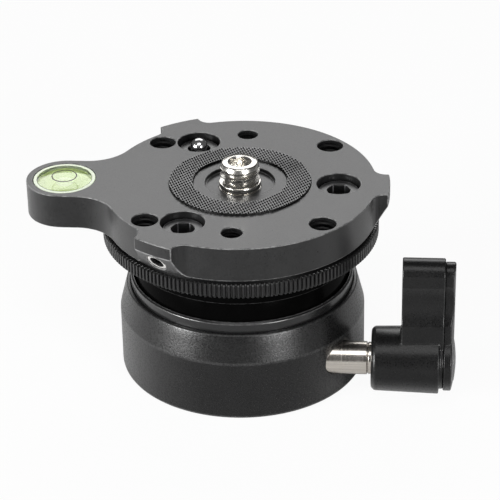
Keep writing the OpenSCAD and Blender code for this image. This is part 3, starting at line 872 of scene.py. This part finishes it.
@dataclass(frozen=True)
class Rounded:
    """A piece made from a CAD node by rounding its hard edges.

    Edges sharper than angle are rounded to the width, and edges sharper than
    crisp stay sharp in the shading.
    """

    node: str
    name: str
    width: float
    finish: Finish
    slot: str
    body: Body = Body.HEAD
    segments: int = 2
    angle: float = 30.0
    crisp: float = 50.0

    def start(self) -> Piece:
        """Copies the node, rounds its edges and marks them for wear and a painted edge highlight.

        Returns:
            The new piece, with a face mask of its rounded edges.
        """
        obj = placed(self.name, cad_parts[self.node].data.copy())
        obj.data.name = self.name
        hold(obj)
        bpy.ops.mesh.customdata_custom_splitnormals_clear()
        obj.data.shade_smooth()
        with editing(obj, "SELECT"):
            bpy.ops.mesh.remove_doubles(threshold=MERGE)
            bpy.ops.mesh.dissolve_limited(angle_limit=math.radians(FLAT))
        obj.data.materials.clear()
        for part in ("face", "rounding"):
            obj.data.materials.append(bpy.data.materials.new(part))
        shaped(obj, "BEVEL", width=self.width * MM, segments=self.segments, limit_method="ANGLE",
               angle_limit=math.radians(self.angle), use_clamp_overlap=False, material=1,
               miter_outer="MITER_ARC")
        mark_edges(obj)
        return obj

    def end(self, obj: Piece) -> None:
        """Shades the piece, dresses it and says where it belongs."""
        smooth(obj, self.crisp)
        finished(obj, self.finish, self.body, self.node)

    def build(self) -> None:
        """Makes the piece with nothing else cut into it."""
        self.end(self.start())


# Sub-assemblies


@dataclass
class Housing:
    """The part that screws on to the tripod, and what it holds."""

    shell: Rounded = Rounded("base_housing", "housing_shell", 0.35, BLASTED, "black_anodised",
                             Body.BASE, angle=13.0)
    rim: Rounded = Rounded("wiper_ring", "rim_ring", 0.14, RIM, "black_gloss", Body.BASE)
    bush: Rounded = Rounded("tripod_bush", "tripod_bush_steel", 0.2, STEEL, "steel", Body.BASE)
    bush_thread: Thread = Thread(radius=4.8, depth=0.6, pitch=1.5875, low=0.5, high=7.3)
    screws: Rounded = Rounded("base_screws", "base_screws_oxide", 0.12, OXIDE, "black_steel",
                              Body.BASE)

    def build(self) -> None:
        """Builds the housing's pieces and dresses what stays inside."""
        self.shell.build()
        self.rim.build()
        bush = self.bush.start()
        self.bush_thread.tap(bush)
        self.bush.end(bush)
        self.screws.build()
        dressed(BARE, "socket_body", "socket_ring", "fixed_clamp_plug", "threaded_clamp_plug")
        dressed(STEEL, "socket_ring_screws", "thrust_washer")
        dressed(NYLON, "ball_liner")


@dataclass
class Lock:
    """The spindle that draws the clamp together, and its wing knob."""

    pieces: tuple[Rounded, ...] = (
        Rounded("lock_spindle", "lock_spindle_steel", 0.12, SPINDLE, "steel", Body.LOCK),
        Rounded("knob_body", "knob_wing", 0.35, PLASTIC, "knob_plastic", Body.LOCK, segments=5,
                crisp=22.0),
        Rounded("knob_cover", "knob_cover_plate", 0.3, PLASTIC, "knob_plastic", Body.LOCK,
                segments=5, crisp=22.0),
        Rounded("knob_cap", "knob_cap_disc", 0.12, CAP, "cap_plastic", Body.LOCK),
    )

    def build(self) -> None:
        """Builds the spindle and the knob, and dresses what stays inside."""
        for piece in self.pieces:
            piece.build()
        dressed(BRASS, "knob_insert")
        dressed(STEEL, "knob_screw")


@dataclass
class KnurledRing:
    """The straight-knurled disc under the plate."""

    ribs: int = 188
    crest_r: float = 33.3
    depth: float = 0.5
    corners_per_rib: int = 5
    valley: tuple[float, float] = (0.5, 0.9)
    low: float = 35.4
    high: float = 38.9
    top: float = 39.7
    hub_r: float = 31.5
    bore_r: float = 7.0
    lead: float = 0.28
    screw_r: float = 3.2

    def rim(self) -> Piece:
        """The knurled rim: a many-cornered disc whose corners go in and out.

        Returns:
            The rim as a closed solid.
        """
        corners = self.corners_per_rib * self.ribs
        bpy.ops.mesh.primitive_circle_add(
            vertices=corners, radius=self.crest_r * MM, fill_type="NGON",
            location=(0, 0, self.low * MM))
        obj = fresh("knurled_ring_ribs")
        pitch = FULL_TURN / self.ribs

        def in_valley(spot: Vector) -> bool:
            """Says whether a corner lies in a valley between two ribs."""
            share = (math.atan2(spot.x, spot.y) % pitch) / pitch
            return self.valley[0] < share < self.valley[1]

        def scaled(size: float, level: float) -> None:
            """Sizes what is selected about the axis, at a level."""
            bpy.ops.transform.resize(value=(size, size, 1), center_override=(0, 0, level * MM))

        small = self.crest_r - self.lead
        level = self.low
        with editing(obj):
            pick(obj, Part.VERTS, in_valley)
            scaled((self.crest_r - self.depth) / self.crest_r, level)
            pick(obj, Part.FACES, lambda spot: True)
            scaled(small / self.crest_r, level)
            for above, size in ((self.low + self.lead, self.crest_r / small),
                                (self.high - self.lead, 1.0), (self.high, small / self.crest_r)):
                bpy.ops.mesh.extrude_region_move(
                    TRANSFORM_OT_translate={"value": (0, 0, (above - level) * MM)})
                scaled(size, above)
                level = above
        close_up(obj)
        return obj

    def build(self) -> None:
        """Builds the ring and dresses it."""
        ring = self.rim()
        low, high = self.low - PAST, self.top + PAST
        cut(ring, disc("hub", self.hub_r, self.low + PAST, self.top, steps=180), "UNION")
        cut(ring, disc("bore", self.bore_r, low, high, steps=72))
        for angle in THIRDS:
            at = around(SCREW_CIRCLE, angle)
            cut(ring, disc("hole", self.screw_r, low, high, steps=48, at=at))
        smooth(ring, angle=25.0)
        finished(ring, KNURL, Body.HEAD, "knurled_ring")


@dataclass
class GripPad:
    """The ring of pad rubber with sunken diamonds round the stud."""

    inner_r: float = 11.3
    outer_r: float = 17.0
    low: float = 47.8
    top: float = 48.9
    ridge: float = 0.08
    slope: float = 0.08
    relief: float = 0.4
    turn_before: float = -70.27
    stretch: tuple[float, float] = (1.1775, 0.6127)
    turn_after: float = 100.43
    spare: float = 0.5
    steps: int = 144

    def field(self) -> Piece:
        """A slab whose top is a net of ridges round sunken slanted diamonds.

        Returns:
            The slab as a closed solid.
        """
        count = 2 * math.ceil(1.5 * self.outer_r / min(self.stretch))
        bpy.ops.mesh.primitive_grid_add(
            x_subdivisions=count, y_subdivisions=count, size=count * MM,
            location=(0, 0, self.top * MM), rotation=(0, 0, math.radians(self.turn_before)))
        obj = fresh("grip_pad_field")
        obj.scale = (*self.stretch, 1)
        settle(obj)
        obj.rotation_euler.z = math.radians(self.turn_after)
        settle(obj)
        with editing(obj):
            pick(obj, Part.FACES, lambda spot: spot.xy.length > (self.outer_r + 2 * PAST) * MM)
            bpy.ops.mesh.delete(type="FACE")
            pick(obj, Part.FACES, lambda spot: True)
            bpy.ops.mesh.inset(thickness=self.ridge * MM, use_individual=True)
            bpy.ops.mesh.inset(thickness=self.slope * MM, depth=-self.relief * MM,
                               use_individual=True)
        with editing(obj, "SELECT"):
            bpy.ops.mesh.region_to_loop()
            bpy.ops.mesh.extrude_edges_move(
                TRANSFORM_OT_translate={"value": (0, 0, (self.low - self.top - PAST) * MM)})
            bpy.ops.mesh.edge_face_add()
        close_up(obj)
        return obj

    def build(self) -> None:
        """Builds the pad and dresses it."""
        above = self.top + self.spare
        ring = turned("grip_pad_diamond", [
            (self.inner_r, self.low), (self.outer_r, self.low), (self.outer_r, above),
            (self.inner_r, above), (self.inner_r, self.low)], self.steps)
        cut(ring, self.field(), "INTERSECT")
        ring.data.shade_flat()
        finished(ring, PAD, Body.HEAD, "grip_pad")


@dataclass
class Stud:
    """The threaded stud in the middle of the plate."""

    crest_r: float = 4.76
    root_r: float = 3.8
    pitch: float = 2.1
    crest_height: float = 51.42
    start: float = 47.4
    thread_top: float = 52.7
    top: float = 53.7
    head_r: float = 4.62
    head_flat_r: float = 4.1
    head_edge: float = 52.72
    collar_r: float = 5.0
    collar: tuple[float, float] = (47.27, 48.7)
    flange_r: float = 8.0
    flange: tuple[float, float] = (39.7, 41.9)
    neck_r: float = 5.0
    hex_across: float = 4.9
    hex_depth: float = 2.0
    hex_turn: float = -4.0
    socket_lead: Point = (2.4, 3.2)
    lead_sink: float = 0.1
    steps: int = 96

    def body(self) -> Piece:
        """The stud without its thread: flange, neck, collar and chamfered head.

        Returns:
            The turned body as a closed solid.
        """
        low, high = self.collar
        neck, out = self.neck_r, self.collar_r
        inner = self.root_r - 0.1
        return turned("centre_stud_threaded", [
            (0, self.flange[0]), (self.flange_r, self.flange[0]), (self.flange_r, self.flange[1]),
            (neck, self.flange[1]), (neck, low - 0.1), (out - 0.25, low), (out - 0.06, low + 0.06),
            (out, low + 0.25), (out, high - 0.22), (out - 0.07, high - 0.06), (out - 0.25, high),
            (inner, high), (inner, self.head_edge - 0.6), (self.head_r - 0.4, self.head_edge - 0.3),
            (self.head_r - 0.07, self.head_edge - 0.2), (self.head_r, self.head_edge - 0.08),
            (self.head_r - 0.06, self.head_edge + 0.1), (self.head_flat_r + 0.26, self.top - 0.3),
            (self.head_flat_r + 0.14, self.top - 0.1), (self.head_flat_r - 0.05, self.top),
            (0, self.top)], self.steps)

    def build(self) -> None:
        """Builds the stud and dresses it."""
        stud = self.body()
        root, crest = self.root_r, self.crest_r
        tooth = ((-0.035, crest), (0.035, crest), (0.06, crest - 0.07), (0.13, root + 0.09),
                 (0.17, root), (0.83, root), (0.87, root + 0.09), (0.94, crest - 0.07))
        cut(stud, wound("stud_thread", tooth, self.pitch, self.start, self.thread_top,
                        self.crest_height, self.steps + 1), "UNION")
        bpy.ops.mesh.primitive_cylinder_add(
            vertices=6, radius=self.hex_across / math.sqrt(3) * MM, depth=2 * self.hex_depth * MM,
            location=(0, 0, self.top * MM), rotation=(0, 0, math.radians(self.hex_turn)))
        cut(stud, fresh("socket"))
        lead_in(stud, 72, self.socket_lead, (0, 0, (self.top - self.lead_sink) * MM))
        smooth(stud, angle=40.0)
        finished(stud, STUD, Body.HEAD, "centre_stud")


@dataclass
class Head:
    """The half ball, the plate and everything on it."""

    plate: Rounded = Rounded("top_plate", "top_plate_anodised", 0.22, ANODISED, "black_anodised")
    underside: float = 39.7
    skim: float = 0.01
    large_thread: Thread = Thread(radius=3.175, depth=0.5, pitch=1.27, low=40.2, high=47.85)
    large_holes: tuple[Point, ...] = ((20.7, 19.8), (20.7, -19.8), (-20.7, 19.8), (-20.7, -19.8))
    small_thread: Thread = Thread(radius=2.5, depth=0.35, pitch=0.8, low=40.2, high=47.85)
    small_holes: tuple[Point, ...] = ((0.0, 25.0), (0.0, -25.0))
    solid_screws: Rounded = Rounded("plate_screws", "plate_screws_oxide", 0.14, OXIDE,
                                    "black_steel")
    hollow_screw: Rounded = Rounded("hollow_screw", "hollow_screw_oxide", 0.14, OXIDE,
                                    "black_steel")
    screw_lift: float = 0.35
    screw_top: float = 46.2
    screw_edge: float = 0.4
    screw_lead: Point = (2.35, 3.15)
    lead_sink: float = 0.15
    set_screws: Rounded = Rounded("side_set_screws", "side_set_screws_steel", 0.16, SET_STEEL,
                                  "steel")
    set_place: Spot = (34.3, 0.0, 42.4)
    set_slant: float = 30.65
    set_start: float = 0.3
    set_lead: Point = (1.38, 2.18)
    set_socket_r: float = 1.85
    set_socket_span: Point = (0.35, 3.0)
    ball: Rounded = Rounded("half_ball", "half_ball_gloss", 0.25, GLOSS, "black_gloss")
    ring: KnurledRing = field(default_factory=KnurledRing)
    pad: GripPad = field(default_factory=GripPad)
    stud: Stud = field(default_factory=Stud)

    def build_plate(self) -> None:
        """Builds the plate, with a real thread in each accessory hole."""
        plate = self.plate.start()
        with editing(plate):  # the rounding can push a tab's corners out below
            pick(plate, Part.VERTS, lambda spot: spot.z < (self.underside - self.skim) * MM)
            bpy.ops.transform.resize(value=(1, 1, 0), center_override=(0, 0, self.underside * MM))
        for thread, spots in ((self.large_thread, self.large_holes),
                              (self.small_thread, self.small_holes)):
            for spot in spots:
                thread.tap(plate, spot)
        self.plate.end(plate)

    def build_screws(self, kind: Rounded, *angles: float) -> None:
        """Builds low cap screws, with a lead-in round each hex socket.

        Args:
            kind: The screws.
            *angles: Where they stand round the plate.
        """
        screws = kind.start()
        with editing(screws):
            pick(screws, Part.VERTS, lambda spot: spot.z > (self.screw_top - self.screw_edge) * MM)
            bpy.ops.transform.translate(value=(0, 0, self.screw_lift * MM))
        for angle in angles:
            x, y = around(SCREW_CIRCLE, angle)
            z = self.screw_top + self.screw_lift - self.lead_sink
            lead_in(screws, 64, self.screw_lead, (x * MM, y * MM, z * MM))
        kind.end(screws)

    def set_axis(self) -> Vector:
        """The outward axis of the set screw at 0 degrees."""
        slant = math.radians(self.set_slant)
        return Vector((math.cos(slant), 0, -math.sin(slant)))

    def in_set_socket(self, spot: Vector) -> bool:
        """Says whether a face lies in the hex socket of a set screw.

        Args:
            spot: The face's middle in metres.

        Returns:
            Whether it does.
        """
        inward = -self.set_axis()
        shallow, deep = self.set_socket_span
        for angle in THIRDS:
            near = Matrix.Rotation(-math.radians(angle), 3, "Z") @ spot
            near -= Vector(self.set_place) * MM
            depth = near.dot(inward)
            from_axis = (near - depth * inward).length
            if from_axis < self.set_socket_r * MM and shallow * MM < depth < deep * MM:
                return True
        return False

    def build_set_screws(self) -> None:
        """Builds the bright set screws in the tabs, with painted shade black inside their hex
        sockets.
        """
        sets = self.set_screws.start()
        for angle in THIRDS:
            turn = Matrix.Rotation(math.radians(angle), 3, "Z")
            axis = turn @ self.set_axis()
            face = turn @ Vector(self.set_place) - self.set_start * axis
            lead_in(sets, 48, self.set_lead, face * MM, axis.to_track_quat("Z", "Y").to_euler())
        # Faces in the hex sockets take painted shade.
        mark(sets, SOCKET_SHADE_MASK, (self.in_set_socket(face.center) for face in sets.data.polygons))
        self.set_screws.end(sets)

    def build(self) -> None:
        """Builds the head's pieces and dresses what keeps its shape."""
        self.build_plate()
        self.build_screws(self.solid_screws, 0.0, 240.0)
        self.build_screws(self.hollow_screw, 120.0)
        self.build_set_screws()
        self.ball.build()
        dressed(GLOSS, "dust_skirt")
        dressed(CHROME, "anti_twist_pin")
        dressed(STEEL, "pin_spring")
        self.ring.build()
        self.pad.build()
        self.stud.build()


@dataclass
class Level:
    """The bull's-eye level at the end of the arm."""

    centre: Point = (-42.4, 0.0)
    window_r: float = 6.6
    window_top: float = 49.0
    window_rise: float = 0.8
    circle_r: float = 2.95
    circle_width: float = 0.26
    circle_skin: float = 0.015
    circle_steps: int = 72
    cup: Rounded = Rounded("level_cup", "level_cup_moulded", 0.15, CUP, "level_white")

    def dome(self, radius: float) -> float:
        """Height of the window's domed top at a radius."""
        whole = (self.window_r ** 2 + self.window_rise ** 2) / (2 * self.window_rise)
        return self.window_top - whole + math.sqrt(whole ** 2 - radius ** 2)

    def build(self) -> None:
        """Builds the printed circle and dresses the level's parts."""
        inner, outer = self.circle_r - self.circle_width / 2, self.circle_r + self.circle_width / 2
        skin, near, far = self.circle_skin, self.dome(inner), self.dome(outer)
        circle = turned("level_circle", [
            (inner, near - skin), (outer, far - skin), (outer, far + skin), (inner, near + skin),
            (inner, near - skin)], self.circle_steps, self.centre)
        smooth(circle)
        finished(circle, PRINT, Body.HEAD, "level_ring")
        self.cup.build()
        dressed(FLUID, "level_fluid")
        dressed(AIR, "level_bubble")
        dressed(WINDOW, "level_lens")


# Stage


@dataclass
class Camera:
    """The camera at the photograph's angle, placed in metres."""

    lens: float = 162.0
    sensor: float = 36.0
    clip: Point = (0.01, 50.0)
    place: Spot = (0.0415, -0.4739, 0.3010)
    right: Spot = (0.9972, 0.0735, -0.0166)
    forward: Spot = (-0.0720, 0.8654, -0.4959)

    def build(self) -> None:
        """Sets the camera up."""
        data = bpy.data.cameras.new("photo_camera")
        data.lens = self.lens
        data.sensor_width = self.sensor
        data.clip_start, data.clip_end = self.clip
        camera = placed("photo_camera", data)
        forward = Vector(self.forward).normalized()
        right = (Vector(self.right) - forward * Vector(self.right).dot(forward)).normalized()
        up = right.cross(forward)
        turn = Matrix((right, up, -forward)).transposed().to_4x4()
        camera.matrix_world = Matrix.Translation(self.place) @ turn
        bpy.context.scene.camera = camera


@dataclass(frozen=True)
class Softbox:
    """A large soft lamp that faces the object, in metres and watts."""

    name: str
    place: Spot
    width: float
    height: float
    power: float
    aim: Spot = (0.0, 0.0, 0.03)

    def build(self) -> None:
        """Hangs the lamp."""
        data = bpy.data.lights.new(self.name, "AREA")
        data.shape = "RECTANGLE"
        data.size, data.size_y = self.width, self.height
        data.energy = self.power
        lamp = placed(self.name, data)
        lamp.location = self.place
        towards = Vector(self.aim) - Vector(self.place)
        lamp.rotation_euler = towards.to_track_quat("-Z", "Y").to_euler()
        lamp.visible_camera = False


@dataclass
class Stage:
    """The pale floor, the white surround and the studio lamps, in metres."""

    floor_size: float = 30.0
    floor_drop: float = 0.0001
    floor_tone: float = 0.66
    floor_glow: float = 0.94
    world_fill: float = 0.075
    lamps: tuple[Softbox, ...] = (
        Softbox("back_box", (-0.1, 0.95, 0.75), 1.1, 0.6, 4.8),
        Softbox("left_strip", (-0.80, -0.59, 0.25), 0.4, 0.46, 17.5),
        Softbox("right_strip", (0.60, -0.80, 0.25), 0.3, 0.46, 9.6),
        Softbox("front_box", (0.07, -0.55, 1.05), 0.8, 0.5, 4.0),
    )

    def floor(self) -> None:
        """Lays the floor: pale, and white to the eye except for a faint shadow."""
        bpy.ops.mesh.primitive_plane_add(size=self.floor_size, location=(0, 0, -self.floor_drop))
        floor = fresh("studio_floor")
        made = bpy.data.materials.new("floor_white")
        wiring = blank(made)
        plain = wiring.node("BsdfDiffuse", {"Color": (*(self.floor_tone,) * 3, 1)})
        glow = wiring.node("Emission", {"Color": (1, 1, 1, 1)})
        path = wiring.node("LightPath").outputs
        seen = wiring.math("MAXIMUM", path["Is Camera Ray"], path["Is Transmission Ray"])
        mix = wiring.node("MixShader", {"Fac": wiring.times(seen, self.floor_glow),
                                        1: plain.outputs[0], 2: glow.outputs[0]})
        wiring.node("OutputMaterial", {"Surface": mix.outputs[0]})
        floor.data.materials.append(made)
        floor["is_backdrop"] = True

    def surround(self) -> None:
        """Lights the world softly and evenly."""
        world = bpy.data.worlds.new("studio_surround")
        bpy.context.scene.world = world
        wiring = blank(world)
        light = wiring.node("Background", {"Color": (1, 1, 1, 1), "Strength": self.world_fill})
        wiring.node("OutputWorld", {"Surface": light.outputs[0]})

    def build(self) -> None:
        """Sets the stage."""
        self.floor()
        self.surround()
        for lamp in self.lamps:
            lamp.build()
        bpy.context.scene.view_settings.view_transform = "Standard"


def corners(box: tuple[Vector, Vector]) -> list[list[float]]:
    """A box's two corners as plain lists of numbers."""
    return [list(corner) for corner in box]


def main() -> None:
    """Builds the leveling base and its stage, in order."""
    logging.basicConfig(level=logging.INFO, format="%(name)s: %(message)s")
    cad_box = corners(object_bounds())
    Camera().build()
    for group in (grain_group, wear_and_highlight_group, dust_group, turning_and_reflection_group):
        group()
    for assembly in (Housing(), Lock(), Head(), Level(), Stage()):
        log.info("building %s", type(assembly).__name__)
        assembly.build()
    bpy.context.view_layer.update()
    sizes = {"cad": cad_box, "visual": corners(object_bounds())}
    log.info("sizes %s", sizes)


if __name__ == "__main__":
    main()
